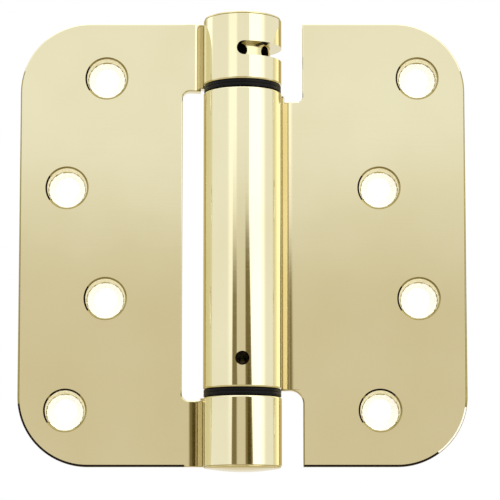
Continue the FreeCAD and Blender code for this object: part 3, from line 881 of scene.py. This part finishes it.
FLOOR_LEVEL = -80 * MM
card("key_softbox", sky_patch((19, 76, -35), (19, 76, 60)), "FFFFFF", 1.8, (0.06, 0.45, 0.1, 0.1))
card("fill_softbox", sky_patch((-46, -14, -5), (-46, -14, 55)), "FFFFFF", 1.3, (0.32, 0.17, 0.3, 0.1))
card("overhead_softbox", sky_patch((-180, 180, 50), (-180, 180, 89)), "FFFFFF", 1.8, (0.0, 0.0, 0.2, 0.0), 32)
card("rear_softbox", sky_patch((-128, -98, -20), (-128, -98, 50)), "FFFFFF", 1.5, (0.2, 0.2, 0.2, 0.2))
card("rear_flag_left", sky_patch((-168, -133, -30), (-168, -133, 45)), "C8B683", 1.0, (0.15, 0.15, 0.1, 0.3))
card("rear_flag_right", sky_patch((133, 168, -30), (133, 168, 45)), "C8B683", 1.0, (0.15, 0.15, 0.1, 0.3))
# The bench, with a dark edge on each side of it and a shadow at its right end.
card("bench", sky_patch((-38, 26, -10), (-28, 16, 11.8), 3.9), "E3DBCB", 1.0, (0.05, 0.05, 0.0, 0.27))
card("bench_edge_left", sky_patch((-39, -9, -10), (-28, -15, 9), 3.8), "867A56", 1.0,
     (0.16, 0.32, 0.0, 0.147))
card("bench_edge_right", sky_patch((6, 55, -10), (7, 20, 9.6), 3.8), "7E7049", 1.0, (0.2, 0.2, 0.0, 0.107))
card("bench_shadow", sky_patch((15, 36, -10), (14, 24, 6), 3.7), "51451F", 1.0, (0.25, 0.3, 0.0, 0.2))

# %% [markdown]
# ## What lies round the foot
# The brass also mirrors the floor: its lower edges all look down, and from a raised viewpoint every
# upright face does. A cloth lies round the foot, tan near the hinge, and rugs point away from it like
# the rays of a star. Each draws a soft stripe down the barrel and a slow change over the leaves, and
# so keeps them golden and round from every side. Only mirrored rays meet them, so the floor itself
# stays white.

# %% The cloth and the rugs
def floor_sector(left, right, near, far, level):
    """A sector of a ring just over the floor, between two azimuths."""
    def place(across, up):
        azimuth = math.radians(left + (right - left) * across)
        reach = near + (far - near) * up
        return Vector((math.sin(azimuth) * reach, -math.cos(azimuth) * reach, FLOOR_LEVEL + level))
    return place


cloths = [card("cloth", floor_patch(-3.9, 3.9, -3.9, 3.9, 0.1 * MM), "F2EDE2", 1.0, (0.02,) * 4),
          card("cloth_near", floor_patch(-0.25, 0.25, -0.2, 0.15, 0.2 * MM), "C9BA92", 1.0, (0.5,) * 4)]
for name, left, right, tone in (
        ("front", -28, 22, "B9A97E"), ("right", 36, 88, "D6C9A2"), ("rear_right", 100, 152, "CDBE92"),
        ("rear", 184, 222, "A3936A"), ("rear_left", 232, 262, "CDBE92"), ("left", 272, 326, "D6C9A2")):
    rug = floor_sector(left, right, 0.1, 3.8, 0.3 * MM)
    cloths.append(card("rug_" + name, rug, tone, 1.0, (0.3, 0.3, 0.03, 0.1)))
for cloth in cloths:
    cloth.visible_diffuse = False
    cloth.visible_shadow = False

# %% [markdown]
# ## Room, floor and camera
# The room itself is white, which is also what stands behind the hinge in the picture. The floor is
# a pale matt sheet below it. The camera stands low, near the foot of the hinge, and looks up a
# little, so the rims of the barrel arch upwards and the slot shows its upper lip.

# %% Room, floor and camera
room = bpy.data.worlds.new("white_tent")
room.use_nodes = True
room.node_tree.nodes["Background"].inputs["Color"].default_value = (1, 1, 1, 1)
room.node_tree.nodes["Background"].inputs["Strength"].default_value = 1.0
bpy.context.scene.world = room
bpy.context.scene.view_settings.view_transform = "Standard"

FLOOR_REACH = 2.5
FIBRES = 2 * MM
floor = prism("floor", [(FLOOR_REACH * x, FLOOR_REACH * y) for x, y in ((-1, -1), (1, -1), (1, 1), (-1, 1))],
              FLOOR_LEVEL - 2 * MM, FLOOR_LEVEL, along_barrel)
# Paper with hardly any gloss: it takes a soft shadow and mirrors nothing.
paper, paper_tree, paper_output, paper_place = new_material("pale_matt_paper")
fibres = add(paper_tree, "TexNoise", {"Vector": paper_place, "Scale": 1 / FIBRES, "Detail": 4.0})
paper_tint = add(paper_tree, "Mix", {"Factor": fibres.outputs["Fac"], "A": colour("F7F7F5"),
                                     "B": colour("F1F1EF")}, data_type="RGBA")
paper_shader = add(paper_tree, "BsdfPrincipled", {"Base Color": paper_tint.outputs["Result"],
                                                  "Roughness": 0.9})
paper_tree.links.new(paper_shader.outputs[0], paper_output.inputs["Surface"])
floor.data.materials.append(paper)

CAMERA_AT = Vector((1.7 * MM, -500 * MM, -72 * MM))
CAMERA_PITCH = 6.7
PICTURE_WIDTH = 112.1 * MM
lens = bpy.data.cameras.new("camera")
lens.sensor_width = 36.0
lens.lens = lens.sensor_width * -CAMERA_AT.y / PICTURE_WIDTH
lens.shift_y = 0.1
camera = bpy.data.objects.new("camera", lens)
camera.location = CAMERA_AT
camera.rotation_euler = (math.radians(90 + CAMERA_PITCH), 0, 0)
bpy.context.scene.collection.objects.link(camera)
bpy.context.scene.camera = camera
print("the lens is %.0f mm" % lens.lens)
